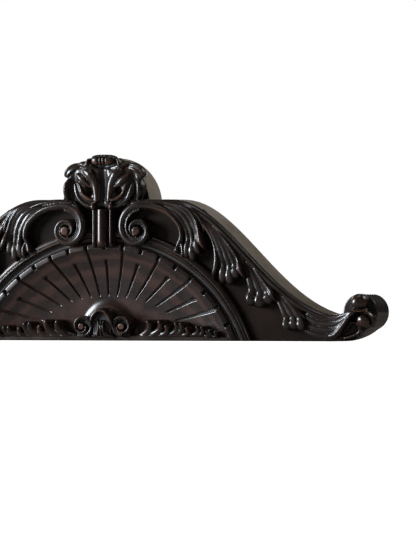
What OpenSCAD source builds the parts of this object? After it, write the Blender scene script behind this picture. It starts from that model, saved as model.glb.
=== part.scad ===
// Carved walnut cresting for the top of a headboard, in the Renaissance revival manner.
// X runs along the length, Y from the front to the back, Z up. The origin is the middle
// of the flat underside; millimetres. Every carving is glued to the front of the board.

/* [Board] */
// Length over both end scrolls
total_w = 1200; // [1160:5:1240]
// Thickness of the board, from its ground to its back
board_t = 64; // [56:1:72]
// Height of the shoulder on which the two large scrolls lie
shoulder_z = 288; // [284:1:292]
// Radius of the round lobe at the top
lobe_r = 97; // [94:1:99]
// Height of the middle of that lobe
lobe_z = 276; // [272:1:278]
// Height of the glue line between the lower and the middle plank
joint_1_z = 120; // [110:1:130]
// Height of the glue line between the middle and the upper plank
joint_2_z = 240; // [232:1:246]

/* [Arch] */
// Depth of the arch's centre below the underside
arch_drop = 120; // [118:1:122]
// Radius of the shell panel and of the inner edge of the notched fillet
shell_r = 306; // [304:1:308]
// Radius at which the notched fillet meets the moulding
fillet_r = 318; // [316:1:320]
// Outer radius of the moulding
rim_r = 350; // [347:1:352]
// Angle between two notches of the fillet
notch_step = 7.6; // [7:0.1:7.6]

/* [Relief] */
// Height of the notched fillet above the ground
fillet_h = 12; // [10:1:14]
// Height of the large scrolls above the ground
volute_h = 29; // [26:1:31]
// Height of the stem above the ground
stem_h = 32; // [30:1:34]
// Depth of the recess that holds the shell panel
recess_d = 32; // [28:1:36]

/* [Shell] */
// Height of the strip below the shell
strip_h = 8; // [6:1:9]
// Radius of the ball-shaped boss
boss_r = 60; // [56:1:62]
// Height of the middle of the boss
boss_z = 28; // [26:1:30]

/* [Mount] */
// Radius of each dowel bore in the underside
mount_r = 6; // [5:0.5:8]
// Depth of each dowel bore
mount_l = 40; // [30:1:50]
// Distance from the middle to the inner pair of bores
mount_x1 = 150; // [130:5:180]
// Distance from the middle to the outer pair of bores
mount_x2 = 400; // [380:5:440]

/* [Hidden] */
$fn = 96;

walnut = "#2a1a14";
worn = "#4a2c1d";
bare = "#6f665a";
steel = "#77787a";

ground = -16;                     // Y of the board's ground, the face that the carvings are glued to
back = ground + board_t;
recess_y = ground + recess_d;     // Y of the bottom of the shell's recess
mount_y = (recess_y + back) / 2;  // the bores lie in the wood that the recess leaves
end_x = 505;                      // where the end scrolls are glued to the lower plank
end_r = 37;                       // radius of an end scroll
end_z = 59;                       // height of its middle
end_cx = total_w / 2 - end_r;
valley_z = 52;                    // height of the lowest place of the slope, beside the end scroll
volute_c = [80, 224];             // middle of a large scroll's eye
dowel_r = 5;
dowel_l = 50;
big = 2000;

// ---- curves ----

function mix(a, b, t) = a + (b - a) * t;
function bezier(p, t) =
    len(p) == 1 ? p[0] : bezier([for (i = [0:len(p) - 2]) mix(p[i], p[i + 1], t)], t);
function heading(p, t) = bezier(p, min(t + 0.01, 1)) - bezier(p, max(t - 0.01, 0));
function normal(p, t) = let (h = heading(p, t)) [-h[1], h[0]] / norm(h);
// Half the width of a leaf along its length: w at its widest, a third at the root, round at the tip
function leaf_w(w, t) = w * (0.35 + 0.65 * sin(130 * t)) * sqrt(1 - pow(t, 6));

// A curved leaf or lobe: p is the curve of its middle line, w half its width
module leaf(p, w, steps = 14) {
    ts = [for (i = [0:steps]) i / steps];
    side_1 = [for (t = ts) bezier(p, t) + normal(p, t) * leaf_w(w, t)];
    side_2 = [for (i = [steps - 1:-1:0]) bezier(p, ts[i]) - normal(p, ts[i]) * leaf_w(w, ts[i])];
    polygon(concat(side_1, side_2));
}

// The flat child, drawn in X and Z, as a slab from Y = y1 in front to Y = y2 behind
module slab(y1, y2) {
    translate([0, y2, 0]) rotate([90, 0, 0]) linear_extrude(y2 - y1) children();
}

// The flat child as a carving of the given height on the ground
module relief(h) {
    slab(ground - h, ground) children();
}

module left() {
    mirror([1, 0, 0]) children();
}

// The flat child turned about the arch's centre line
module about_arch() {
    translate([0, 0, -arch_drop]) rotate([90, 0, 0]) rotate_extrude($fn = 240) children();
}

// The right half above the underside, which the arch's pieces are cut to
module right_quarter(x0 = 0) {
    translate([x0, -big / 2, 0]) cube([big, big, big]);
}

// ---- board ----

slope = [[150, shoulder_z], [270, shoulder_z - 3], [354, 84], [end_x, valley_z]];
slope_points = [for (i = [24:-1:0]) bezier(slope, i / 24)];

module shoulders() {
    polygon(concat([[-end_x, 0], [end_x, 0]], slope_points,
        [for (i = [24:-1:0]) [-slope_points[i][0], slope_points[i][1]]]));
}

module outline() {
    shoulders();
    translate([0, lobe_z]) circle(lobe_r);
}

module band(z1, z2) {
    translate([-big / 2, z1]) square([big, z2 - z1]);
}

module shell_disc(r) {
    translate([0, -arch_drop]) circle(r, $fn = 240);
}

dowels_1 = [for (x = [-330, -220, -90, 90, 220, 330]) [x, joint_1_z]];
dowels_2 = [for (x = [-200, -70, 70, 200]) [x, joint_2_z]];
dowels_end = [15, 36];

module joint_dowel(p) {
    translate([p[0], (recess_y + back) / 2, p[1] - dowel_l / 2]) cylinder(h = dowel_l, r = dowel_r);
}

module end_dowel(z) {
    translate([end_x - dowel_l / 2, (ground + back) / 2, z])
        rotate([0, 90, 0]) cylinder(h = dowel_l, r = dowel_r);
}

module joint_dowels() {
    color("burlywood") {
        for (p = concat(dowels_1, dowels_2)) joint_dowel(p);
        for (z = dowels_end) {
            end_dowel(z);
            left() end_dowel(z);
        }
    }
}

module mount_bore(x) {
    translate([x, mount_y, -1]) cylinder(h = mount_l + 1, r = mount_r);
}

module lower_plank() {
    color(bare) difference() {
        slab(ground, back) intersection() {
            outline();
            band(0, joint_1_z);
        }
        slab(ground - 1, recess_y) shell_disc(shell_r);
        for (x = [mount_x1, mount_x2]) {
            mount_bore(x);
            mount_bore(-x);
        }
        for (p = dowels_1) joint_dowel(p);
        for (z = dowels_end) {
            end_dowel(z);
            left() end_dowel(z);
        }
        for (s = screws) screw(s);
    }
}

module middle_plank() {
    color(bare) difference() {
        slab(ground, back) intersection() {
            outline();
            band(joint_1_z, joint_2_z);
        }
        slab(ground - 1, recess_y) shell_disc(shell_r);
        for (p = concat(dowels_1, dowels_2)) joint_dowel(p);
        for (s = screws) screw(s);
    }
}

module upper_plank() {
    color(bare) difference() {
        slab(ground, back) intersection() {
            outline();
            band(joint_2_z, 400);
        }
        for (p = dowels_2) joint_dowel(p);
    }
}

// ---- end scrolls ----

ball_c = [566, 79];
ball_r = 17.5;
lobe_c = [574, 44];
lobe_ball_r = 14;
ball_h = 11;                      // height of the middle of the ball above the ground
lobe_h = 9;

// The part in front of the ground of a ball whose middle is the given height above it
module knob(c, r, h) {
    intersection() {
        translate([c[0], ground - h, c[1]]) sphere(r);
        translate([0, ground - big, -big / 2]) cube([big, big, big]);
    }
}

// The underside of an end scroll is a wide arc that meets the round of the scroll smoothly
sweep_r = 120;

module end_outline() {
    translate([end_cx, end_z]) circle(end_r);
    intersection() {
        translate([end_x, sweep_r]) circle(sweep_r, $fn = 240);
        polygon([[end_x, -1], [588, -1], [588, 32], [end_cx, end_z + 10], [530, valley_z], [end_x, valley_z]]);
    }
}

module end_scroll() {
    color(walnut) {
        difference() {
            slab(ground, back) end_outline();
            for (z = dowels_end) end_dowel(z);
        }
        translate([ball_c[0], ground + 1, ball_c[1]]) rotate([90, 0, 0]) cylinder(h = ball_h + 1, r = ball_r);
        knob(ball_c, ball_r, ball_h);
        knob(lobe_c, lobe_ball_r, lobe_h);
    }
}

// ---- shell ----

hollow_r = 2200;                  // radius of the hollow face of the shell
hollow_y = -3;                    // Y of its deepest place
screws = [for (x = [-190, 190]) [x, 52], for (x = [-130, 130]) [x, 140]];
screw_l = 46;

module hollow() {
    translate([0, hollow_y - hollow_r, -20]) sphere(hollow_r, $fn = 360);
}

module boss() {
    translate([0, ground - 22 + boss_r, boss_z]) sphere(boss_r);
}

// One groove of the shell: a thin wedge that points to where all the grooves meet
groove_n = 7;
groove_step = 9;
groove_d = 4;
meet_z = -30;

module groove(a, r1, r2) {
    translate([0, 0, meet_z]) rotate([0, a, 0])
        translate([0, 0, r1]) slab(-60, recess_y)
            polygon([[-1.5, 0], [1.5, 0], [4, r2 - r1], [-4, r2 - r1]]);
}

// The shell without its grooves, which the base carvings are fitted against
module shell_blank() {
    difference() {
        slab(ground - 4, recess_y) intersection() {
            shell_disc(shell_r);
            band(strip_h, 400);
        }
        hollow();
    }
    intersection() {
        boss();
        translate([-big / 2, ground - big / 2, strip_h]) cube([big, big / 2 - ground, big]);
    }
}

module shell_panel() {
    color(walnut) difference() {
        shell_blank();
        intersection() {
            for (i = [-groove_n:groove_n])
                groove(i * groove_step, 118 + 2 * abs(i), abs(i) % 2 == 0 ? 194 - abs(i) : 212 + 4 * abs(i));
            translate([0, groove_d, 0]) hollow();
        }
        for (s = screws) screw(s);
    }
}

module screw(s) {
    translate([s[0], back, s[1]]) rotate([90, 0, 0]) {
        cylinder(h = 4, r1 = 5.5, r2 = 2.5);
        cylinder(h = screw_l, r = 2.5);
    }
}

module shell_screws() {
    color(steel) for (s = screws) screw(s);
}

module base_strip() {
    color(walnut) slab(ground - fillet_h, recess_y) intersection() {
        shell_disc(shell_r);
        band(0, strip_h);
    }
}

// ---- arch ----

module notched_fillet() {
    color(worn) difference() {
        intersection() {
            about_arch() translate([shell_r, -ground]) square([fillet_r - shell_r, fillet_h]);
            right_quarter();
        }
        for (i = [0:8]) translate([0, ground - fillet_h, -arch_drop]) rotate([0, i * notch_step, 0])
            translate([-3, -1, shell_r - 1]) cube([6, 7, fillet_r - shell_r + 2]);
    }
}

// Section of the moulding, as radius and height above the ground: hollow, ridge and round
module rim_section() {
    ridge_r = fillet_r + 17;
    polygon(concat(
        [[fillet_r, 0], [fillet_r, fillet_h - 2]],
        [for (a = [30:30:150]) [fillet_r + 9 - 7 * cos(a), fillet_h - 3 - 6 * sin(a)]],
        [[ridge_r, fillet_h + 2]],
        [for (a = [60:-15:0]) [ridge_r + (rim_r - ridge_r) * (1 - a / 75) , 4 + (fillet_h - 4) * sin(a + 20)]],
        [[rim_r, 0]]));
}

module rim_blank() {
    intersection() {
        about_arch() translate([0, -ground]) rim_section();
        right_quarter(stem_w / 2);
    }
}

module rim_moulding() {
    color(walnut) rim_blank();
}

// The flat child as a carving that lies on the ground and, where they cross, on the moulding
module relief_over_rim(h) {
    difference() {
        relief(h) children();
        rim_blank();
    }
}

// ---- crest ----

stem_w = 50;
stem_z1 = 190;
stem_z2 = 268;
roll_r = 12.5;

module stem_outline() {
    translate([-stem_w / 2, stem_z1]) square([stem_w, stem_z2 - stem_z1]);
}

module crest_stem() {
    color(worn) {
        translate([-stem_w / 2, ground - 18, stem_z1]) cube([stem_w, 18, stem_z2 - stem_z1]);
        translate([0, ground - stem_h + roll_r, stem_z1 + roll_r]) {
            cylinder(h = stem_z2 - stem_z1 - roll_r, r = roll_r);
            sphere(roll_r);
        }
        for (s = [-1, 1]) translate([s * 19, ground - 19, stem_z1]) cylinder(h = stem_z2 - stem_z1, r = 4);
    }
}

// Lobes of one half of the top leaf, as middle and radius
palmette_lobes = [[0, 328, 48], [46, 338, 26], [66, 318, 22], [68, 298, 20], [24, 290, 22]];

module palmette_outline() {
    difference() {
        for (l = palmette_lobes) for (s = [-1, 1]) translate([s * l[0], l[1]]) circle(l[2], $fn = 48);
        volute_outline();
        mirror([1, 0]) volute_outline();
        stem_outline();
    }
}

module crest_palmette() {
    color(walnut) {
        difference() {
            relief(20) palmette_outline();
            for (s = [-1, 1]) translate([s * 28, ground - 21, 307]) rotate([-90, 0, 0])
                cylinder(h = 16, r = 8);
        }
        translate([-24, ground - 18, 370]) rotate([0, 90, 0]) cylinder(h = 48, r = 10);
    }
}

// ---- large scrolls ----

// Radius of the large scroll's outer edge at angle a, which runs on through the turns
function coil(a) = 62 * exp(-0.0036 * (a - 90));
function coil_point(a, inset) = volute_c + (coil(a) - inset) * [cos(a), sin(a)];
// The strap that runs on from the top of the coil along the shoulder and down to its nub
strap = [[78, 276], [150, 280], [196, 240], [174, 184]];

module volute_outline() {
    polygon(concat(
        [for (a = [80:10:450]) coil_point(a, 0)],
        [for (a = [450:-10:80]) coil_point(a, min(21, coil(a) * 0.42))]));
    translate(volute_c) circle(17, $fn = 48);
    leaf(strap, 15);
}

module volute() {
    color(walnut) {
        relief_over_rim(volute_h) volute_outline();
        translate([volute_c[0], ground - volute_h + 1, volute_c[1]]) rotate([90, 0, 0]) cylinder(h = 4, r = 10);
    }
}

// ---- acanthus ----

// Each group of leaves is a few long leaves that start at the slope and turn downwards
top_leaves = [
    [[120, 276], [196, 262], [190, 190], [172, 168]],
    [[128, 280], [214, 258], [208, 196], [189, 160]],
    [[132, 284], [232, 262], [222, 190], [206, 144]],
    [[140, 284], [224, 270], [226, 226], [232, 186]]];
upper_leaves = [
    [[190, 262], [234, 234], [252, 180], [246, 132]],
    [[200, 262], [254, 232], [276, 176], [268, 119]],
    [[206, 262], [270, 226], [306, 170], [287, 108]],
    [[216, 260], [272, 224], [296, 184], [314, 139]]];
lower_leaves = [
    [[300, 190], [318, 160], [336, 120], [329, 77]],
    [[304, 186], [336, 152], [354, 110], [350, 67]],
    [[308, 182], [350, 150], [376, 104], [364, 58]],
    [[314, 176], [342, 142], [366, 116], [382, 80]]];
tail_leaves = [
    [[366, 112], [388, 92], [408, 66], [406, 36]],
    [[372, 108], [404, 90], [434, 62], [431, 22]],
    [[380, 104], [420, 82], [446, 66], [460, 48]]];
husk_leaves = [
    [[438, 66], [444, 40], [462, 18], [500, 8]],
    [[446, 66], [462, 40], [494, 14], [528, 16]],
    [[458, 62], [480, 44], [504, 44], [516, 36]],
    [[500, 14], [528, 14], [540, 36], [548, 62]]];

module leaves(list, w) {
    intersection() {
        shoulders();
        for (p = list) leaf(p, w);
    }
}

module acanthus_top_outline() {
    difference() {
        leaves(top_leaves, 11);
        volute_outline();
    }
}

module acanthus_upper_outline() {
    difference() {
        leaves(upper_leaves, 11);
        leaves(top_leaves, 11);
        volute_outline();
    }
}

module acanthus_top() {
    color(worn) relief_over_rim(22) acanthus_top_outline();
}

module acanthus_upper() {
    color(walnut) relief_over_rim(20) acanthus_upper_outline();
}

module acanthus_lower() {
    color(worn) relief_over_rim(18) difference() {
        leaves(lower_leaves, 9);
        leaves(upper_leaves, 11);
    }
}

module acanthus_tail() {
    color(walnut) relief(16) difference() {
        leaves(tail_leaves, 8);
        leaves(lower_leaves, 9);
    }
}

module husk() {
    color(worn) relief(14) difference() {
        for (p = husk_leaves) leaf(p, 9);
        leaves(tail_leaves, 8);
        translate(ball_c) circle(ball_r, $fn = 48);
        translate(lobe_c) circle(lobe_ball_r, $fn = 48);
        band(-50, 0.5);
    }
}

// ---- base ----

base_y = ground - fillet_h - 4;   // Y of the front of the base carvings

module palmette_bud() {
    translate([0, 44]) circle(16, $fn = 48);
    translate([-14, strip_h]) square([28, 36]);
}

module base_palmette() {
    color(worn) difference() {
        slab(base_y - 14, 0) palmette_bud();
        shell_blank();
    }
}

scroll_c = [44, 32];
scroll_r = 16;

module scroll_outline() {
    translate(scroll_c) circle(scroll_r, $fn = 48);
    translate([scroll_c[0] - 12, strip_h]) square([24, 20]);
}

module base_scroll() {
    color(walnut) difference() {
        slab(base_y - 10, 0) scroll_outline();
        shell_blank();
    }
}

// The garland's leaves lean outwards and get lower towards the end of the strip
module garland() {
    color(walnut) difference() {
        union() {
            for (i = [0:6]) {
                x = 74 + 26 * i;
                h = 36 - 4 * i;
                slab(base_y, 0)
                    leaf([[x, strip_h - 3], [x + 4, strip_h + 0.4 * h], [x + 12, strip_h + 0.8 * h],
                        [x + 22, strip_h + h]], 11, 8);
            }
            slab(base_y, 0) translate([scroll_c[0], strip_h]) square([204, 9]);
        }
        slab(base_y - 1, 1) scroll_outline();
        slab(base_y - 1, 1) band(-50, strip_h);
        shell_blank();
    }
}

lower_plank();
middle_plank();
upper_plank();
joint_dowels();
left() end_scroll();  // end_scroll_left
end_scroll();  // end_scroll_right
shell_panel();
shell_screws();
base_strip();
left() notched_fillet();  // notched_fillet_left
notched_fillet();  // notched_fillet_right
left() rim_moulding();  // rim_moulding_left
rim_moulding();  // rim_moulding_right
crest_stem();
crest_palmette();
left() volute();  // volute_left
volute();  // volute_right
left() acanthus_top();  // acanthus_top_left
acanthus_top();  // acanthus_top_right
left() acanthus_upper();  // acanthus_upper_left
acanthus_upper();  // acanthus_upper_right
left() acanthus_lower();  // acanthus_lower_left
acanthus_lower();  // acanthus_lower_right
left() acanthus_tail();  // acanthus_tail_left
acanthus_tail();  // acanthus_tail_right
left() husk();  // husk_left
husk();  // husk_right
base_palmette();
left() base_scroll();  // base_scroll_left
base_scroll();  // base_scroll_right
left() garland();  // garland_left
garland();  // garland_right
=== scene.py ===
# A carved cresting for a headboard, in the Renaissance revival manner: dark stained and waxed
# walnut, glued in pieces to a thick plain board. X runs along it, Y to the back, Z up.
import math

import bmesh
import bpy
import numpy as np
from mathutils import Matrix, Vector


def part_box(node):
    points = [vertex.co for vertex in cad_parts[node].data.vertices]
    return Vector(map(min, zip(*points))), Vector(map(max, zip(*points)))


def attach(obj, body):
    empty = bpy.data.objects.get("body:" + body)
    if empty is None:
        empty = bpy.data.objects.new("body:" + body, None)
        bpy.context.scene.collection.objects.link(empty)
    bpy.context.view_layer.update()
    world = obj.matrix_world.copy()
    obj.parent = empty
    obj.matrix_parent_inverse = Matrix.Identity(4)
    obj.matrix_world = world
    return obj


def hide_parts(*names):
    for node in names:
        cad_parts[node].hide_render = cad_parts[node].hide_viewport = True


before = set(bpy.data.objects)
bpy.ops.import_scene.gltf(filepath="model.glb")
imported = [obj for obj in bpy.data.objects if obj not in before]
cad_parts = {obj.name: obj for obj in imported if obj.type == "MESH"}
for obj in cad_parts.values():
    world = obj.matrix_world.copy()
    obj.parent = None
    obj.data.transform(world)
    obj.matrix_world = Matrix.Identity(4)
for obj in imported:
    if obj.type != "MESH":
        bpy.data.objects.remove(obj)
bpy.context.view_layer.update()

# ---- Studio ----
# A pale sweep of paper, one big cool window to the left, and weak warm fill from the right.
# The camera stands to the right of the middle, level with the carving, with a long lens.
VIEW_TURN = math.radians(24)
VIEW_DISTANCE = 16
FRAME_HEIGHT = 1.1246
AIM = Vector((0.233, -0.028, 0.130))

scene = bpy.context.scene
scene.view_settings.view_transform = "Standard"

camera = bpy.data.objects.new("camera", bpy.data.cameras.new("camera"))
camera.data.sensor_width = 36
camera.data.lens = camera.data.sensor_width * VIEW_DISTANCE / FRAME_HEIGHT
camera.location = AIM + VIEW_DISTANCE * Vector((math.sin(VIEW_TURN), -math.cos(VIEW_TURN), 0))
camera.rotation_euler = (AIM - camera.location).to_track_quat("-Z", "Y").to_euler()
scene.collection.objects.link(camera)
scene.camera = camera


def window(name, place, aim, size, power, colour):
    """A rectangular lamp, size wide and high, that points at aim."""
    lamp = bpy.data.lights.new(name, "AREA")
    lamp.shape = "RECTANGLE"
    lamp.size, lamp.size_y = size
    lamp.energy = power
    lamp.color = colour
    obj = bpy.data.objects.new(name, lamp)
    obj.location = place
    obj.rotation_euler = (Vector(aim) - Vector(place)).to_track_quat("-Z", "Y").to_euler()
    scene.collection.objects.link(obj)


window("left window", (-2.6, -1.6, 0.72), (0.05, 0, 0.17), (1.15, 1.4), 165, (0.86, 0.93, 1.0))
window("fill", (2.4, -3.0, 1.6), (0.1, 0, 0.15), (0.6, 0.6), 3, (1.0, 0.86, 0.75))
window("skylight", (0.3, -0.1, 2.2), (0.1, 0, 0.2), (1.5, 0.5), 5, (0.95, 0.97, 1.0))
window("back window", (1.9, 1.6, 1.9), (0.1, 0, 0.2), (1.4, 0.9), 22, (1.0, 0.96, 0.9))
window("room behind", (-0.9, 3.2, 0.3), (0, 0, 0.15), (1.8, 0.6), 26, (1.0, 0.97, 0.93))

world = bpy.data.worlds.new("paper white")
world.use_nodes = True
scene.world = world
sky = world.node_tree.nodes["Background"]
sky.inputs["Color"].default_value = (1, 1, 1, 1)
seen = world.node_tree.nodes.new("ShaderNodeLightPath")
strength = world.node_tree.nodes.new("ShaderNodeMapRange")
strength.inputs["To Min"].default_value = 0.04
strength.inputs["To Max"].default_value = 1.0
world.node_tree.links.new(seen.outputs["Is Camera Ray"], strength.inputs["Value"])
world.node_tree.links.new(strength.outputs["Result"], sky.inputs["Strength"])

floor_mesh = bmesh.new()
bmesh.ops.create_grid(floor_mesh, x_segments=1, y_segments=1, size=12)
floor_data = bpy.data.meshes.new("floor")
floor_mesh.to_mesh(floor_data)
floor_mesh.free()
floor = bpy.data.objects.new("floor", floor_data)
scene.collection.objects.link(floor)
# the paper shows white, but throws little of its light back on the carving
paper = bpy.data.materials.new("paper")
paper.use_nodes = True
paper_shader = paper.node_tree.nodes["Principled BSDF"]
paper_shader.inputs["Base Color"].default_value = (0.4, 0.38, 0.36, 1)
paper_shader.inputs["Roughness"].default_value = 0.9
paper_shader.inputs["Specular IOR Level"].default_value = 0
paper_shader.inputs["Emission Color"].default_value = (1, 1, 1, 1)
glow = paper.node_tree.nodes.new("ShaderNodeLightPath")
paper.node_tree.links.new(glow.outputs["Is Camera Ray"], paper_shader.inputs["Emission Strength"])
floor_data.materials.append(paper)

# ---- Board ----
# Three planks of plain walnut, glued edge to edge and sawn to the outline. The edges and the
# back are bare and grey with dust, and the front is stained nearly black, as the carvings are.
MM = 0.001
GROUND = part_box("lower_plank")[0].y / MM
PLANK_EASE = 0.3


class Finish:
    """A procedural material: its shader, and short calls that add nodes in front of it."""

    def __init__(self, name):
        self.material = bpy.data.materials.new(name)
        self.material.use_nodes = True
        self.tree = self.material.node_tree
        self.shader = self.tree.nodes["Principled BSDF"]
        self.place = self.tree.nodes.new("ShaderNodeTexCoord").outputs["Object"]

    def join(self, value, socket):
        """Links a node's output to the socket, or sets the socket to a plain value."""
        if hasattr(value, "is_linked"):
            self.tree.links.new(value, socket)
        else:
            socket.default_value = value

    def stretched(self, x, y, z):
        """The place in the object, scaled on each axis, in features a metre."""
        node = self.tree.nodes.new("ShaderNodeMapping")
        node.inputs["Scale"].default_value = (x, y, z)
        self.join(self.place, node.inputs["Vector"])
        return node.outputs["Vector"]

    def cloud(self, vector, detail=4.0, rough=0.6):
        node = self.tree.nodes.new("ShaderNodeTexNoise")
        node.inputs["Scale"].default_value = 1
        node.inputs["Detail"].default_value = detail
        node.inputs["Roughness"].default_value = rough
        self.join(vector, node.inputs["Vector"])
        return node.outputs["Fac"]

    def ramp(self, value, *stops):
        """The colour for value, from stops of a position and a colour each."""
        node = self.tree.nodes.new("ShaderNodeValToRGB")
        points = node.color_ramp.elements
        while len(points) < len(stops):
            points.new(1)
        for point, (at, colour) in zip(points, stops):
            point.position = at
            point.color = (*colour, 1)
        self.join(value, node.inputs["Fac"])
        return node.outputs["Color"]

    def span(self, value, low, painted_top_light, out_low=0.0, out_high=1.0):
        """value taken from low..high to out_low..out_high, and held there."""
        node = self.tree.nodes.new("ShaderNodeMapRange")
        for socket, number in zip(list(node.inputs)[1:5], (low, painted_top_light, out_low, out_high)):
            socket.default_value = number
        self.join(value, node.inputs["Value"])
        return node.outputs["Result"]

    def sum(self, operation, a, b=0.0):
        node = self.tree.nodes.new("ShaderNodeMath")
        node.operation = operation
        self.join(a, node.inputs[0])
        self.join(b, node.inputs[1])
        return node.outputs[0]

    def mix(self, share, a, b):
        node = self.tree.nodes.new("ShaderNodeMix")
        node.data_type = "RGBA"
        factor, first, second = node.inputs[0], node.inputs[6], node.inputs[7]
        self.join(share, factor)
        self.join(a if hasattr(a, "is_linked") else (*a, 1), first)
        self.join(b if hasattr(b, "is_linked") else (*b, 1), second)
        return node.outputs[2]

    def axis(self, index):
        node = self.tree.nodes.new("ShaderNodeSeparateXYZ")
        self.join(self.place, node.inputs[0])
        return node.outputs[index]

    def attribute(self, name):
        node = self.tree.nodes.new("ShaderNodeAttribute")
        node.attribute_name = name
        return node.outputs["Fac"]

    def bump(self, height, strength, distance, under=None):
        node = self.tree.nodes.new("ShaderNodeBump")
        node.inputs["Strength"].default_value = strength
        node.inputs["Distance"].default_value = distance
        self.join(height, node.inputs["Height"])
        if under:
            self.join(under, node.inputs["Normal"])
        return node.outputs["Normal"]

    def set(self, **sockets):
        for name, value in sockets.items():
            self.join(value, self.shader.inputs[name.replace("_", " ")])


def bare_board():
    """Grey dusty walnut on the sawn edges and back, near-black stain on the ground in front."""
    f = Finish("bare and stained walnut board")
    grain = f.cloud(f.stretched(6, 160, 160), 5, 0.65)
    saw = f.cloud(f.stretched(420, 8, 420), 3, 0.5)
    dust = f.cloud(f.stretched(9, 9, 9), 4, 0.6)
    bare = f.ramp(
        grain, (0.25, (0.16, 0.13, 0.1)), (0.5, (0.3, 0.26, 0.215)), (0.75, (0.43, 0.385, 0.33))
    )
    bare = f.mix(f.span(dust, 0.42, 0.62), bare, (0.38, 0.34, 0.3))
    # painted light and shade: the upper edges are painted lighter, as light from above falls on them, and
    # the lower slope is painted nearly as dark as the front; the dust noise breaks the line between them
    painted_top_light = f.span(f.sum("ADD", f.axis(2), f.sum("MULTIPLY", dust, 0.12)), 0.05, 0.34)
    bare = f.mix(painted_top_light, f.mix(0.8, bare, (0.08, 0.055, 0.035)), bare)
    stain = f.ramp(dust, (0.3, (0.008, 0.005, 0.0038)), (0.7, (0.021, 0.0115, 0.0085)))
    behind = f.span(f.axis(1), (GROUND + 0.6) * MM, (GROUND + 1.6) * MM)
    f.set(Base_Color=f.mix(behind, stain, bare), Roughness=f.span(behind, 0, 1, 0.3, 0.85))
    f.set(Specular_IOR_Level=0.2, Normal=f.bump(saw, 0.35, 0.0005, f.bump(grain, 0.3, 0.0006)))
    return f.material


def dress(obj, material, slot, *nodes):
    """Gives a finished piece its material and hides the CAD nodes that it stands for. Its slot is not
    used.
    """
    obj.data.materials.append(material)
    scene.collection.objects.link(obj)
    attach(obj, "root")
    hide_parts(*nodes)


def eased_plank(node, material):
    """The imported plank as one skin, with its sharp edges eased."""
    bm = bmesh.new()
    bm.from_mesh(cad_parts[node].data)
    bmesh.ops.remove_doubles(bm, verts=bm.verts, dist=0.01 * MM)
    bmesh.ops.dissolve_limit(bm, angle_limit=math.radians(0.5), verts=bm.verts, edges=bm.edges)
    sharp = [e for e in bm.edges if e.is_manifold and e.calc_face_angle() > math.radians(50)]
    bmesh.ops.bevel(
        bm, geom=sharp, offset=PLANK_EASE * MM, offset_type="OFFSET", segments=2, profile=0.5,
        affect="EDGES", clamp_overlap=True, material=-1,
    )
    mesh = bpy.data.meshes.new(f"{node}_board")
    bm.to_mesh(mesh)
    bm.free()
    dress(bpy.data.objects.new(mesh.name, mesh), material, "board", node)


board_finish = bare_board()
for plank in ("lower_plank", "middle_plank", "upper_plank"):
    eased_plank(plank, board_finish)

# ---- Dowels and screws ----
# Beech dowels hold the planks and the end blocks together, and steel wood screws hold the shell
# from behind. Only the screws' heads can be seen.


def plain_finish(name, dark, light, rough, metal=0.0):
    """Streaks between a dark and a light colour, for the pieces that hold the others."""
    f = Finish(name)
    streaks = f.cloud(f.stretched(60, 60, 300), 4, 0.6)
    f.set(Base_Color=f.ramp(streaks, (0.3, dark), (0.7, light)), Metallic=metal)
    f.set(Roughness=f.span(streaks, 0.3, 0.7, rough, rough + 0.15), Normal=f.bump(streaks, 0.2, 0.0002))
    return f.material


def repaint(node, material):
    """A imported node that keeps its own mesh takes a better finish."""
    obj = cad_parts[node]
    obj.data.materials.clear()
    obj.data.materials.append(material)


beech = plain_finish("beech", (0.36, 0.23, 0.13), (0.55, 0.4, 0.25), 0.6)
repaint("joint_dowels", beech)
dark_steel = plain_finish("darkened steel", (0.09, 0.085, 0.08), (0.2, 0.19, 0.18), 0.35, 1.0)
repaint("shell_screws", dark_steel)

# ---- Shell ----
# One walnut panel, hollowed like a scallop shell, that is let into the board and screwed from
# behind. A round boss stands at its foot, and V-shaped grooves radiate from a point under it.
ARCH_DROP = 120
SHELL_RADIUS = 306
NOTCH_STEP = math.radians(7.6)
BAND_Y = -28
STRIP_TOP = 8
SHELL_BACK = 12
FAN_FOOT = 5
HOLLOW_DEPTH = 25
COVE = 55
BOSS_HEIGHT = 37
BOSS_FOOT = 14
BOSS_REACH = (66, 74)
LAST_GROOVE = 7
GROOVE_START = (84, 160)


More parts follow.
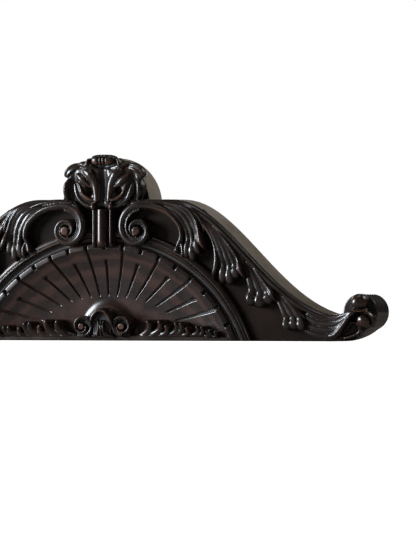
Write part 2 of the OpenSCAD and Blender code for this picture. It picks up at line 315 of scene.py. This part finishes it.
def walnut(name, redness=1.0, rings=0.0):
    """Near-black stained walnut, waxed: painted shade makes it black in the crevices, and it is worn to
    red-brown where it stands out.
    On a hollowed piece the growth rings, which lie flat in the board, show as bands of depth."""
    f = Finish(name)
    patches = f.cloud(f.stretched(16, 16, 16), 4, 0.6)
    grain = f.cloud(f.stretched(22, 260, 260), 4, 0.6)
    pores = f.cloud(f.stretched(90, 900, 900), 2, 0.5)
    tools = f.cloud(f.stretched(70, 70, 70), 2, 0.5)
    base = f.ramp(
        patches, (0.3, (0.0095, 0.0062, 0.005)), (0.55, (0.019, 0.0112, 0.0085)),
        (0.8, (0.04 * redness, 0.0185, 0.0115)),
    )
    base = f.mix(f.span(grain, 0.45, 0.75, 0, 0.5), base, (0.034 * redness, 0.016, 0.0105))
    if rings:
        wave = f.sum("ADD", f.sum("MULTIPLY", f.axis(1), 1000), f.sum("MULTIPLY", patches, 9))
        band = f.sum("SINE", f.sum("MULTIPLY", wave, 0.75))
        base = f.mix(f.span(band, -0.2, 0.9, 0, rings), base, (0.075, 0.034, 0.026))
    stands = f.attribute("stands_out")
    worn = f.sum("MULTIPLY", f.span(stands, 0.45, 1.0), f.span(patches, 0.38, 0.62, 0.1, 1.0))
    base = f.mix(worn, base, (0.12 * redness, 0.048, 0.026))
    # painted shade: points that lie lower than their surroundings are painted near black, and made a
    # little rougher
    painted_crevice_shade = f.span(stands, -0.1, -0.75)
    base = f.mix(painted_crevice_shade, base, (0.003, 0.0024, 0.0022))
    wax = f.span(patches, 0.3, 0.7, 0.22, 0.34)
    f.set(Base_Color=base, Roughness=f.sum("ADD", wax, f.sum("MULTIPLY", painted_crevice_shade, 0.3)))
    f.set(Coat_Weight=0.25, Coat_Roughness=0.2)
    f.set(Normal=f.bump(pores, 0.1, 0.0001, f.bump(tools, 0.14, 0.001)))
    return f.material


FORM_CELL = 3
FORM_BLURS = 7
FORM_FULL = 6


def shade_by_form(mesh):
    """Stores how far each point of the front stands out from what lies round it: 1 on a tip that
    is FORM_FULL mm higher, and -1 in a crevice that is as much lower."""
    count = len(mesh.vertices)
    places = np.empty(count * 3)
    mesh.vertices.foreach_get("co", places)
    places = places.reshape(-1, 3) / MM
    normals = np.empty(count * 3)
    mesh.vertex_normals.foreach_get("vector", normals)
    front = normals.reshape(-1, 3)[:, 1] < -0.15
    across = places[:, (0, 2)] - places[:, (0, 2)].min(0)
    column, row = (across / FORM_CELL).astype(int).T + FORM_BLURS
    size = (column.max() + FORM_BLURS + 1, row.max() + FORM_BLURS + 1)
    weight, level = np.zeros(size), np.zeros(size)
    np.add.at(weight, (column[front], row[front]), 1)
    np.add.at(level, (column[front], row[front]), places[front, 1])
    for _ in range(FORM_BLURS):
        for axis in (0, 1):
            weight = weight / 2 + (np.roll(weight, 1, axis) + np.roll(weight, -1, axis)) / 4
            level = level / 2 + (np.roll(level, 1, axis) + np.roll(level, -1, axis)) / 4
    around = level[column, row] / np.maximum(weight[column, row], 1e-9)
    stands = np.where(front, np.clip((around - places[:, 1]) / FORM_FULL, -1, 1), 0)
    mesh.attributes.new("stands_out", "FLOAT", "POINT").data.foreach_set("value", stands)


def soft_step(t):
    """t held between 0 and 1, and eased at both ends."""
    t = min(max(t, 0.0), 1.0)
    return t * t * (3 - 2 * t)


def shell_reach(a):
    """How far the shell's rim is from the foot of the fan, in the direction a from the vertical."""
    drop = ARCH_DROP + FAN_FOOT
    return math.sqrt(SHELL_RADIUS**2 - (drop * math.sin(a)) ** 2) - drop * math.cos(a)


def notch_direction(k):
    """The direction of a notch of the fillet, seen from the foot of the fan."""
    a = NOTCH_STEP * k
    return math.atan2(SHELL_RADIUS * math.sin(a), SHELL_RADIUS * math.cos(a) - ARCH_DROP - FAN_FOOT)


groove_directions = [notch_direction(k) for k in range(-LAST_GROOVE, LAST_GROOVE + 1)]


def groove_depth(a, rho, reach):
    """The grooves by turns run out through the rim, and stop short of it in a small fishtail."""
    depth = 0.0
    start = 1 / math.hypot(math.cos(a) / GROOVE_START[0], math.sin(a) / GROOVE_START[1])
    for k, direction in enumerate(groove_directions):
        aside = abs(rho * math.sin(a - direction))
        if aside > 8 or abs(a - direction) > 0.3:
            continue
        short = (k - LAST_GROOVE) % 2 == 0
        end = reach - (20 if short else -6)
        t = (rho - start) / (end - start)
        if t < 0 or t > 1:
            continue
        width = 1.8 + 1.9 * t + (2.4 * soft_step((t - 0.86) / 0.14) if short else 0)
        ends = soft_step((rho - start) / 9) * (soft_step((end - rho) / 4) if short else 1)
        depth = max(depth, (3.2 + 2.4 * t) * ends * max(0.0, 1 - aside / width) ** 0.8)
    return depth


def shell_height(x, z):
    """The Y of the shell's face, without its grooves."""
    inside = SHELL_RADIUS - math.hypot(x, z + ARCH_DROP)
    hollow = 3 + HOLLOW_DEPTH * (1 - math.exp(-max(inside, 0) / COVE))
    away = math.hypot(x / BOSS_REACH[0], (z - BOSS_FOOT) / BOSS_REACH[1])
    boss = BOSS_HEIGHT * (0.5 + 0.5 * math.cos(math.pi * min(away, 1))) ** 0.85
    return BAND_Y + hollow - boss


shell_walnut = walnut("hollowed walnut", 1.3, 0.55)

shell = bmesh.new()
SHELL_COLUMNS, SHELL_ROWS = 620, 130
front = bmesh.ops.create_grid(shell, x_segments=SHELL_COLUMNS, y_segments=SHELL_ROWS, size=0.5)["verts"]
for vert in front:
    a = vert.co.x * math.radians(179.4)
    out = vert.co.y + 0.5
    reach = shell_reach(a)
    foot = (STRIP_TOP - 1 - FAN_FOOT) / math.cos(a)
    rho = foot + (reach + 1 - foot) * out if foot < reach else reach
    x, z = rho * math.sin(a), FAN_FOOT + rho * math.cos(a)
    vert.co = Vector((x, shell_height(x, z) + groove_depth(a, rho, reach), z)) * MM
rim_edges = [e for e in shell.edges if e.is_boundary]
wall = bmesh.ops.extrude_edge_only(shell, edges=rim_edges)["geom"]
for item in wall:
    if isinstance(item, bmesh.types.BMVert):
        item.co.y = SHELL_BACK * MM
back_rim = [item for item in wall if isinstance(item, bmesh.types.BMEdge)]
bmesh.ops.contextual_create(shell, geom=back_rim)
bmesh.ops.recalc_face_normals(shell, faces=shell.faces)
for polygon in shell.faces:
    polygon.smooth = polygon.calc_area() < 40 * MM**2
shell_mesh = bpy.data.meshes.new("shell")
shell.to_mesh(shell_mesh)
shell.free()
shade_by_form(shell_mesh)
dress(bpy.data.objects.new("shell", shell_mesh), shell_walnut, "shell", "shell_panel")

# ---- Base strip ----
# A plain low strip of walnut closes the shell at the foot and carries the base carvings.
dark_walnut = walnut("stained walnut")


def carving(name, bm, material, node, voxel=1.1, soften=6, pair=False):
    """Cuts the overlapping solids in bm to one skin, softens it as sanding does, and puts it in
    place of its node, or of its left and right nodes when it is one of a pair."""
    rough = bpy.data.meshes.new(name)
    bm.to_mesh(rough)
    bm.free()
    draft = bpy.data.objects.new("draft", rough)
    scene.collection.objects.link(draft)
    skin = draft.modifiers.new("skin", "REMESH")
    skin.mode = "VOXEL"
    skin.voxel_size = voxel * MM
    skin.use_smooth_shade = True
    sand = draft.modifiers.new("sand", "SMOOTH")
    sand.factor = 0.5
    sand.iterations = soften
    finished = draft.evaluated_get(bpy.context.evaluated_depsgraph_get())
    mesh = bpy.data.meshes.new_from_object(finished)
    bpy.data.objects.remove(draft)
    mesh.name = name
    shade_by_form(mesh)
    if pair:
        other = mesh.copy()
        other.transform(Matrix.Scale(-1, 4, (1, 0, 0)))
        other.flip_normals()
        dress(bpy.data.objects.new(f"{name}_right", mesh), material, "carving", f"{node}_right")
        dress(bpy.data.objects.new(f"{name}_left", other), material, "carving", f"{node}_left")
    else:
        dress(bpy.data.objects.new(name, mesh), material, "carving", node)


def block(bm, low, painted_top_light):
    """A plain block between two corners, in mm."""
    low, painted_top_light = Vector(low) * MM, Vector(painted_top_light) * MM
    size = Matrix.Diagonal(painted_top_light - low).to_4x4()
    bmesh.ops.create_cube(bm, size=1, matrix=Matrix.Translation((low + painted_top_light) / 2) @ size)


strip_low, strip_high = (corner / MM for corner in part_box("base_strip"))
strip = bmesh.new()
block(strip, strip_low, strip_high)
carving("foot_strip", strip, dark_walnut, "base_strip")

# ---- Notched fillet ----
# A flat walnut band round the shell, in a left and a right half, with a notch cut across it by
# chisel where each groove of the shell points. Its inner arris is worn bright.
FILLET_RADIUS = 318
FILLET_HEIGHT = 12
NOTCHES = 9
GLUED_DEPTH = 0.8


def sheet(bm, columns, rows, place, seat=None):
    """A grid whose points are place(u, v), in mm, closed by walls and a back at the seat, which is
    just inside the board unless it is given."""
    grid = bmesh.ops.create_grid(bm, x_segments=columns, y_segments=rows, size=0.5)["verts"]
    for vert in grid:
        vert.co = Vector(place(vert.co.x + 0.5, vert.co.y + 0.5)) * MM
    faces = list({f for vert in grid for f in vert.link_faces})
    back = GROUND + GLUED_DEPTH if seat is None else seat
    grown = bmesh.ops.extrude_face_region(bm, geom=faces)["geom"]
    for item in grown:
        if isinstance(item, bmesh.types.BMVert):
            item.co.y = back * MM


def on_arch(r, u, start=0.0):
    """A point of the arch at radius r, with u from 0 at the start to 1 at the underside."""
    end = math.acos(ARCH_DROP / r)
    a = start + (end - start) * u
    return r * math.sin(a), r * math.cos(a) - ARCH_DROP, a


def fillet_place(u, v):
    r = SHELL_RADIUS + (FILLET_RADIUS - SHELL_RADIUS) * v
    x, z, a = on_arch(r, u)
    notch = round(a / NOTCH_STEP)
    aside = abs(a - notch * NOTCH_STEP) * r
    cut = soft_step((3.6 - aside) / 1.4) * (notch < NOTCHES)
    height = FILLET_HEIGHT - 7 * cut - 1.1 * soft_step(v) - 0.8 * (abs(2 * v - 1) ** 4)
    return x, GROUND - height, z


fillet = bmesh.new()
sheet(fillet, 360, 12, fillet_place)
worn_walnut = walnut("worn walnut", 1.3)
carving("notched_fillet", fillet, worn_walnut, "notched_fillet", voxel=1.0, soften=2, pair=True)

# ---- Arch moulding ----
# Two bent lengths of walnut moulding go round the fillet: a hollow, a thin ridge and a broad
# round. They stop against the stem at the top.
RIM_RADIUS = 350
RIDGE = 335
MOULDING_START = math.radians(4.2)


def moulding_place(u, v):
    r = FILLET_RADIUS - 0.5 + (RIM_RADIUS - FILLET_RADIUS + 0.5) * v
    x, z, _ = on_arch(r, u, MOULDING_START)
    if r < RIDGE - 2:
        t = (r - FILLET_RADIUS) / (RIDGE - 2 - FILLET_RADIUS)
        height = 10.5 + 3 * t - 8 * math.sqrt(max(0.0, 1 - (2 * t - 1) ** 2))
    elif r < RIDGE + 1:
        height = 14.5
    else:
        t = (r - RIDGE - 1) / (RIM_RADIUS - RIDGE - 1)
        height = 3 + 9.5 * math.sqrt(max(0.0, 1 - t**2.4)) - 2.5 * (1 - soft_step(t / 0.2))
    return x, GROUND - height, z


moulding = bmesh.new()
sheet(moulding, 330, 34, moulding_place)
carving("arch_moulding", moulding, dark_walnut, "rim_moulding", voxel=1.0, soften=2, pair=True)

# ---- Stem ----
# A short reeded post of three upright rolls, cut in one piece, between the two large scrolls.
STEM_FOOT, STEM_TOP = 190, 268


def stem_place(u, v):
    x = 50 * (u - 0.5)
    z = STEM_FOOT + (STEM_TOP - STEM_FOOT) * v
    middle = 31 * math.sqrt(max(0.0, 1 - (x / 13) ** 2)) ** 0.6
    sides = 23 * math.sqrt(max(0.0, 1 - ((abs(x) - 19) / 5.6) ** 2)) ** 0.7
    foot = math.sqrt(max(0.0, 1 - max(0.0, 1 - (z - STEM_FOOT) / 13) ** 2))
    height = 12 + max(middle - 12, sides - 12, 0) * (0.35 + 0.65 * foot)
    return x, GROUND - height, z


stem = bmesh.new()
sheet(stem, 60, 60, stem_place)
carving("reeded_stem", stem, walnut("rubbed walnut", 1.5), "crest_stem", voxel=1.0, soften=2)

# ---- Large scrolls ----
# A pair of C-scrolls stands on the arch. Each is carved from one block of walnut: a strap with a
# rolled outer edge winds in to a round eye, and its other end runs out in a curled nub.
EYE = (80, 224)
EYE_RADIUS = 10.5
SCROLL_HEIGHT = 27
# Outer radius of the strap, and its width, at each quarter turn from the top
TURN_RADII = (60, 43, 31, 27, 25, 18, 11)
TURN_WIDTHS = (21, 21, 18, 15, 12, 9, 4)
LOWEST = 0.6


def on_curve(points, t):
    """The place at t, from 0 to 1, on a smooth curve that passes through every point."""
    spans = len(points) - 1
    i = min(int(t * spans), spans - 1)
    f = t * spans - i
    a, b, c, d = (Vector(points[min(max(k, 0), spans)]) for k in range(i - 1, i + 3))
    square = (2 * a - 5 * b + 4 * c - d) * f**2
    cube = (3 * b - a - 3 * c + d) * f**3
    return 0.5 * (2 * b + (c - a) * f + square + cube)


def number_on(values, t):
    """The same for one number along the curve. A single value holds all along."""
    if not isinstance(values, tuple):
        return values
    return on_curve([(v, 0) for v in values], t).x


def strand(
    bm, points, width, height, tip=0.88, root=0.0, flutes=0, full=0.7, cup=0.0, lean=0.0, seat=None
):
    """A long rounded leaf or reed. Half its width and its height are given along its length; it ends
    in a round tip, has fine flutes along it, is dished by cup, and leans to one side. Nothing
    reaches below the underside of the board."""
    length = sum((Vector(b) - Vector(a)).length for a, b in zip(points, points[1:]))
    widest = max(width) if isinstance(width, tuple) else width

    def place(u, v):
        here = on_curve(points, v)
        ahead = on_curve(points, min(v + 0.01, 1)) - on_curve(points, max(v - 0.01, 0))
        side = Vector((-ahead.y, ahead.x)).normalized()
        a = (u - 0.5) * math.pi
        end = math.sqrt(max(0.0, 1 - max(0.0, (v - tip) / (1 - tip)) ** 2))
        if root:
            end *= math.sqrt(max(0.0, 1 - max(0.0, 1 - v / root) ** 2))
        across = here + side * number_on(width, v) * math.sin(a) * max(end, 0.02)
        crown = max(math.cos(a), 0.0)
        rise = crown**full * (1 - cup * crown**5) * (1 + lean * math.sin(a))
        if flutes:
            rise -= 0.09 * (0.5 + 0.5 * math.cos(2 * math.pi * flutes * u)) * crown
        height_here = number_on(height, v) * rise * (0.3 + 0.7 * end)
        return across.x, GROUND - height_here, max(across.y, LOWEST)

    sheet(bm, max(12, int(3 * widest)), max(16, int(length / 1.3)), place, seat)


def scroll_strap(bm, centre, radii, widths, height, start, rise, seat=None, hand=1):
    """A strap that winds in. Its radii and widths are given at each quarter turn from the start."""
    turns = (len(radii) - 1) * 90
    length = math.radians(turns) * sum(radii) / len(radii)

    def place(u, v):
        a = math.radians(start + hand * turns * v)
        r = number_on(radii, v) - number_on(widths, v) * u
        roll = math.sqrt(max(0.0, 1 - ((u - 0.36) / 0.42) ** 2))
        bead = 0.7 * math.sqrt(max(0.0, 1 - ((u - 0.88) / 0.13) ** 2))
        h = height * (0.64 + 0.36 * max(roll, bead)) + rise * v
        return centre[0] + r * math.cos(a), GROUND - h, centre[1] + r * math.sin(a)

    sheet(bm, max(16, int(max(widths) * 1.5)), int(length / 1.3), place, seat)


def button(bm, centre, radius, height, top=0.8):
    """A round button, as high as height above the ground, narrower at its top."""
    middle = Vector((centre[0], GROUND - height / 2, centre[1])) * MM
    turn = Matrix.Rotation(math.radians(90), 4, "X")
    bmesh.ops.create_cone(
        bm, cap_ends=True, segments=40, radius1=radius * MM, radius2=radius * top * MM,
        depth=height * MM, matrix=Matrix.Translation(middle) @ turn,
    )


scroll = bmesh.new()
scroll_strap(scroll, EYE, TURN_RADII, TURN_WIDTHS, SCROLL_HEIGHT, 84, 3)
button(scroll, EYE, EYE_RADIUS, SCROLL_HEIGHT + 5)
# the strap runs on from the top of the coil and comes down to a curled nub
strand(
    scroll,
    [(44, 261), (66, 273), (94, 276), (122, 271), (148, 259), (170, 237), (176, 214), (169, 196),
     (164, 178)],
    (7, 9.5, 10.5, 10, 9.5, 8.5, 7, 6.5, 9), (18, 26, 27, 26, 24, 24, 23, 22, 27), tip=0.93, root=0.12,
)
strand(scroll, [(172, 206), (179, 188), (178, 168)], (4, 6.5, 5), (18, 22, 21), tip=0.8, root=0.2)
strand(scroll, [(66, 282), (100, 284), (135, 281), (168, 270)], (4.5, 5, 5, 4), (26, 26, 24, 18), tip=0.97)
carving("large_scroll", scroll, dark_walnut, "volute", pair=True)

# ---- Acanthus ----
# Four sprays of long walnut leaves follow one another down each slope. Each is a bundle of
# strands, carved side by side, that part at their ends into raised tips. A plain strand runs
# along the edge of the slope behind them, and the tallest tips are worn brown.
SHOULDER = 288
SLOPE = [(150, SHOULDER), (270, 285), (354, 84), (505, 52)]
BORDER_INSET = 6.5
BUNDLE_STEPS = 7
STRAND_SHARE = 0.62
STRAND_LEAST = 2.6
TIP_SWELL = (0.9, 1.2, 0.6)
BED_LENGTH = 0.8


def on_slope(t, inset):
    """A point of the slope's edge, at t from 0 to 1, moved in from the edge."""
    a, b, c, d = (Vector(p) for p in SLOPE)
    point = (1 - t) ** 3 * a + 3 * (1 - t) ** 2 * t * b + 3 * (1 - t) * t**2 * c + t**3 * d
    ahead = (1 - t) ** 2 * (b - a) + 2 * (1 - t) * t * (c - b) + t**2 * (d - c)
    return point + Vector((ahead.y, -ahead.x)).normalized() * inset


def bundle(bm, inner, outer, height, ends, bulge=5, bed=8):
    """Strands side by side between two lines, over a low bed. Each strand ends at its own share
    of the length, in a wider and higher tip."""
    last = len(ends) - 1
    for i, end in enumerate(ends):
        line = [Vector(a).lerp(Vector(b), i / last) for a, b in zip(inner, outer)]
        gaps = tuple((Vector(b) - Vector(a)).length / last for a, b in zip(inner, outer))
        places = [end * k / BUNDLE_STEPS for k in range(BUNDLE_STEPS + 1)]
        width = [max(STRAND_SHARE * number_on(gaps, t), STRAND_LEAST) for t in places]
        rise = [number_on(height, t) for t in places]
        for k, swell in zip((-3, -2, -1), TIP_SWELL):
            width[k] *= swell
        rise[-2] += bulge
        rise[-1] += 0.7 * bulge
        course = [on_curve(line, t) for t in places]
        strand(bm, course, tuple(width), tuple(rise), tip=0.93, root=0.05, flutes=2)
    middle = [(Vector(a) + Vector(b)) / 2 for a, b in zip(inner, outer)]
    spread = tuple((Vector(b) - Vector(a)).length / 2 + 5 for a, b in zip(inner, outer))
    places = [BED_LENGTH * k / BUNDLE_STEPS for k in range(BUNDLE_STEPS + 1)]
    bed_width = tuple(number_on(spread, t) for t in places)
    strand(bm, [on_curve(middle, t) for t in places], bed_width, bed, full=0.25)


# Each spray: its bundles as inner line, outer line, height and ends, then its single strands as
# line, half width and height, then the stretch of the slope's edge that it takes
SPRAYS = {
    "top": (
        [([(114, 272), (152, 264), (175, 244), (188, 216), (188, 190), (184, 158)],
          [(130, 277), (173, 270), (198, 248), (208, 219), (210, 194), (217, 164)],
          (17, 21, 21, 20, 19, 18), (0.93, 1.0, 0.92))],
        [([(138, 281), (184, 271), (205, 250), (214, 225), (221, 203), (231, 184)],
          (4, 5, 5.5, 6, 8, 2), (16, 20, 21, 23, 29, 25)),
         ([(150, 280), (188, 272), (210, 256), (221, 238), (226, 220)],
          (4, 5, 5, 4.5, 3), (17, 19, 19, 18, 16)),
         ([(168, 277), (196, 267), (215, 251), (229, 236), (238, 218)],
          (4, 4.5, 4.5, 4.5, 3), (15, 16, 16, 15, 13))],
        (0.0, 0.32),
    ),
    "upper": (
        [([(200, 262), (236, 228), (256, 196), (266, 166), (268, 142), (264, 112)],
          [(217, 253), (252, 220), (278, 188), (291, 160), (296, 140), (300, 114)],
          (9, 18, 20, 20, 19, 17), (0.96, 1.0, 0.9))],
        [([(190, 266), (222, 238), (241, 212), (251, 185), (254, 158), (245, 128)],
          (4, 5.5, 6, 6.5, 8, 4.5), (9, 17, 18, 20, 25, 21)),
         ([(228, 248), (262, 216), (288, 186), (302, 164), (308, 146), (319, 125)],
          (4, 5.5, 6, 6.5, 8, 2), (9, 17, 20, 22, 28, 24)),
         ([(246, 234), (272, 208), (294, 180), (309, 154)], (4, 5, 5, 3.5), (9, 17, 17, 14)),
         ([(260, 222), (283, 198), (304, 172), (319, 150)], (4.5, 5, 5, 4), (14, 15, 15, 14))],
        (0.30, 0.60),
    ),
    "lower": (
        [([(291, 188), (314, 154), (327, 122), (331, 98), (326, 70)],
          [(302, 178), (334, 144), (357, 112), (368, 92), (368, 64)],
          (8, 16, 19, 19, 17), (0.98, 1.0, 0.9))],
        [([(308, 174), (341, 141), (366, 110), (377, 96), (386, 79)],
          (3.5, 5, 5.5, 6.5, 2), (8, 16, 19, 24, 20)),
         ([(318, 164), (344, 140), (362, 122), (375, 106)], (4, 5, 5, 3), (14, 15, 15, 13))],
        (0.58, 0.78),
    ),
    "tail": (
        [([(360, 122), (386, 86), (400, 62), (407, 44), (408, 22)],
          [(368, 114), (404, 82), (427, 60), (438, 44), (441, 20)],
          (8, 15, 18, 18, 16), (1.0, 0.96, 0.98))],
        [([(380, 106), (410, 80), (434, 60), (450, 44)], (4, 5.5, 5.5, 3), (13, 15, 15, 11))],
        (0.76, 0.99),
    ),
}
for spray, (bundles, strands, (first, last)) in SPRAYS.items():
    bm = bmesh.new()
    for inner, outer, height, ends in bundles:
        bundle(bm, inner, outer, height, ends)
    for line, width, height in strands:
        strand(bm, line, width, height, tip=0.9, root=0.05)
    border = [on_slope(first + (last - first) * k / 7, BORDER_INSET) for k in range(8)]
    border_width = (BORDER_INSET, BORDER_INSET)
    if spray == "top":
        level = SHOULDER - BORDER_INSET
        border = [(70, 280), (96, level), (124, level)] + border
        border_width = (2, 5) + 9 * (BORDER_INSET,)
    if spray == "tail":
        border_width = 7 * (BORDER_INSET,) + (1.5,)
    strand(bm, border, border_width, 16, tip=0.995, full=0.45)
    carving(f"{spray}_acanthus", bm, dark_walnut, f"acanthus_{spray}", pair=True)

# ---- Husks ----
# A last leaf lies along the foot of each slope. Its strands dip to the underside, draw together
# and pass up over the neck of the end scroll as one strap.
HUSK_LOW = [(434, 34), (460, 17), (490, 11), (514, 13), (534, 31), (550, 50), (568, 62)]
HUSK_HIGH = [(448, 60), (474, 50), (498, 47), (518, 48), (534, 53), (550, 59), (568, 65)]
husk = bmesh.new()
bundle(husk, HUSK_LOW, HUSK_HIGH, (10, 14, 16, 18, 22, 27, 28), (1.0, 0.98, 0.96, 0.9), bulge=0)
strand(husk, [(494, 13), (512, 13), (532, 31), (548, 50), (566, 61)], (3, 6, 6, 5, 3),
       (12, 20, 25, 28, 28), root=0.1)
strand(husk, [(476, 54), (500, 47), (520, 48), (534, 56)], (3, 6, 7, 3),
       (12, 18, 21, 17), root=0.1, cup=0.3)
carving("husk", husk, dark_walnut, "husk", pair=True)

# ---- End scrolls ----
# Each end of the board is a walnut block glued on with dowels, rounded over its whole thickness.
# On its face a ball stands over a smaller lobe, with a collar between them and a rim below.
LOBE = (577, 43)
LOBE_RADIUS = 15
end_block = bmesh.new()
end_block.from_mesh(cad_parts["end_scroll_right"].data)
bmesh.ops.remove_doubles(end_block, verts=end_block.verts, dist=0.01 * MM)
bmesh.ops.create_uvsphere(
    end_block, u_segments=48, v_segments=24, radius=LOBE_RADIUS * MM,
    matrix=Matrix.Translation(Vector((LOBE[0], GROUND - 9, LOBE[1])) * MM),
)
strand(end_block, [(552, 66), (562, 62), (574, 61), (586, 66)], 3,
       (28, 29, 28, 20), tip=0.9, root=0.1)
strand(end_block, [(556, 60), (574, 62), (590, 56), (597, 42), (592, 28)], 3,
       (22, 24, 22, 17, 12), tip=0.95, root=0.1)
strand(end_block, [(526, 6), (546, 10), (564, 18), (566, 30), (556, 38), (544, 36)],
       (3, 3.5, 3.5, 3, 3, 3), (9, 11, 13, 15, 17, 18), tip=0.95, root=0.1)
carving("end_scroll", end_block, dark_walnut, "end_scroll", voxel=1.25, soften=4, pair=True)

# ---- Crest leaf ----
# The top is a broad cupped leaf in one piece of walnut, with a curled and fluted tip, two pierced
# eyelets and side lobes. Its halves mirror each other about a deep channel.
CREST_MIDDLE = 312
# How far the leaf reaches from its middle, at each 15 degrees from the top round to the foot
CREST_REACH = (64, 65, 68, 73, 82, 85, 88, 89, 72, 56, 48, 44, 42)
EYELET = (32, 306)
LIP_HALF = 26
LIP_FOOT = 359
LIP_TOP = 380


def dip(x, z, middle, wide, tall, depth):
    """A smooth round hollow, as its depth at x, z."""
    return depth * math.exp(-((((x - middle[0]) / wide) ** 2 + ((z - middle[1]) / tall) ** 2) ** 1.5))


def crest_place(u, v):
    """The leaf's cupped face, with its channel, its eyelets and the hollows round them."""
    a = 2 * math.pi * (u - 0.5)
    r = number_on(CREST_REACH, abs(a) / math.pi) * v
    x, z = r * math.sin(a), CREST_MIDDLE + r * math.cos(a)
    beside = abs(x)
    height = 17 - 8 * v**3
    height -= dip(beside, z, (0, 318), 9, 36, 9)
    height -= dip(beside, z, EYELET, 7.5, 10, 14)
    height -= dip(beside, z, (0, 356), 44, 5, 6)
    height -= dip(beside, z, (66, 306), 7, 34, 7)
    return x, GROUND - max(height, 2), z


def both_sides(bm, line, width, height, **form):
    """A strand and its mirror image."""
    strand(bm, line, width, height, **form)
    strand(bm, [(-x, z) for x, z in line], width, height, **form)


def lip_place(u, v):
    """The curled tip, a roll along the top with three slits in its middle."""
    x = 2 * LIP_HALF * (u - 0.5)
    foot = LIP_FOOT + 8 * (1 - math.sqrt(max(0.0, 1 - (x / LIP_HALF) ** 2)))
    top = LIP_TOP - 5 * (abs(x) / LIP_HALF) ** 3
    z = foot + (top - foot) * v
    roll = math.sqrt(max(0.0, 1 - ((v - 0.4) / 0.62) ** 2)) ** 0.7
    slit = max(0.0, 1 - abs(abs(x) - 7 * round(abs(x) / 7)) / 2.2) if abs(x) < 10 else 0
    side = math.sqrt(max(0.0, 1 - abs(2 * u - 1) ** 5))
    return x, GROUND - (12 + 16 * roll * side - 9 * slit), z


crest = bmesh.new()
sheet(crest, 220, 70, crest_place)
sheet(crest, 70, 40, lip_place)
# the small points beside the tip, and the fan of the forehead under it
both_sides(crest, [(33, 347), (37, 358), (32, 373)], (5, 7, 2), (14, 21, 21), root=0.2)
both_sides(crest, [(14, 351), (32, 355), (48, 360), (58, 360)], (5, 7, 7, 3), (13, 18, 18, 13), root=0.1)
# the brow, the inner leaf, and the ridges that frame the eyelet
both_sides(crest, [(14, 280), (15, 300), (19, 322), (30, 340), (49, 349)], (8, 10, 13, 14, 7),
           (24, 22, 22, 25, 17), root=0.1, full=0.9)
both_sides(crest, [(25, 312), (36, 321), (48, 331), (60, 341)], (3, 9, 11, 4),
           (17, 22, 23, 18), root=0.1, full=0.9)
both_sides(crest, [(17, 286), (31, 289), (44, 299), (51, 314), (60, 328)], (5.5, 6, 6, 6, 5),
           (23, 23, 22, 20, 14), root=0.1, full=0.9)
both_sides(crest, [(22, 273), (38, 277), (53, 289), (61, 306), (66, 326)], (6, 8, 9, 9, 5),
           (20, 19, 18, 17, 13), root=0.1, full=0.9)
# the bright beads where the ridges meet
both_sides(crest, [(18, 265), (20, 273), (20, 282)], (5, 6.5, 5), (25, 28, 25), root=0.3, tip=0.7)
# side lobes
both_sides(crest, [(77, 283), (82, 299), (82, 316), (75, 331)], (6, 8, 8, 5),
           (15, 20, 21, 16), root=0.1, lean=0.2)
both_sides(crest, [(52, 357), (68, 354), (81, 345), (87, 333)], (6, 8.5, 8, 5),
           (14, 19, 19, 14), root=0.15, cup=0.3)
carving("crest_leaf", crest, dark_walnut, "crest_palmette", soften=4)

# ---- Base carvings ----
# Small walnut carvings are glued along the foot of the shell: a hooded bud over the boss, a
# scroll on each side, and a garland of curling leaves that gets lower towards its end.
BUD_SEAT = -6
CURL_SEAT = -4
bud = bmesh.new()
hood = [(-25, 26), (-22, 42), (-13, 56), (0, 62), (13, 56), (22, 42), (25, 26)]
strand(bud, hood, (2, 5, 6, 6, 6, 5, 2), (25, 31, 33, 33, 33, 31, 25), tip=0.97, root=0.03, seat=BUD_SEAT)
for x, foot in ((0, 0), (-6, -9), (6, 9)):
    reed = [(x, 42), (0.8 * x, 26), (foot, 8)]
    strand(bud, reed, (2.4, 3.2, 4.5), (29, 31, 28), tip=0.97, seat=BUD_SEAT)
for hand in (-1, 1):
    leaf = [(hand * 5, 20), (hand * 14, 12), (hand * 26, 9)]
    strand(bud, leaf, (3, 4.5, 4), (27, 27, 20), root=0.1, seat=BUD_SEAT)
button(bud, (0, 40), 21, 21, 0.9)
block(bud, (-20, GROUND - 20, STRIP_TOP), (20, GROUND + 8, 36))
carving("hooded_bud", bud, dark_walnut, "base_palmette", voxel=1.0, soften=4)

small_scroll = bmesh.new()
CURL = (45, 29)
CURL_RADII = (21, 24, 22, 18, 14.5, 12)
CURL_WIDTHS = (8, 9, 8, 7, 5, 4)
scroll_strap(small_scroll, CURL, CURL_RADII, CURL_WIDTHS, 23, 270, 4, seat=CURL_SEAT, hand=-1)
button(small_scroll, CURL, 8, 27)
button(small_scroll, CURL, 18, 14, 0.95)
block(small_scroll, (CURL[0] - 14, GROUND - 12, STRIP_TOP), (CURL[0] + 14, GROUND + 12, CURL[1]))
carving("small_scroll", small_scroll, dark_walnut, "base_scroll", voxel=1.0, soften=4, pair=True)

# Each cluster of the garland: its strands sweep out along the strip and curl up to their tips
CLUSTERS = [
    [(60, 104, 43), (68, 129, 43), (96, 144, 33)],
    [(112, 166, 39), (120, 177, 38), (150, 190, 28)],
    [(164, 213, 31), (172, 224, 30), (202, 235, 21)],
    [(208, 241, 23), (218, 253, 19)],
]
garland = bmesh.new()
strand(garland, [(56, 8), (100, 9), (180, 10), (250, 10)], 3.5, 12, seat=CURL_SEAT)
for cluster in CLUSTERS:
    for start, tip, top in cluster:
        reach = tip - start
        along = [(start, 9), (start + 0.55 * reach, 12)]
        curl = [(start + 0.9 * reach, 0.5 * top), (tip, 0.76 * top), (tip - 4, top)]
        width = (3, 0.15 * top + 1, 0.17 * top + 1.4, 0.15 * top + 1.5, 4.5)
        strand(garland, along + curl, width, (6, 11, 17, 22, 25), tip=0.86, root=0.08, seat=CURL_SEAT)
carving("garland", garland, dark_walnut, "garland", voxel=1.0, soften=3, pair=True)
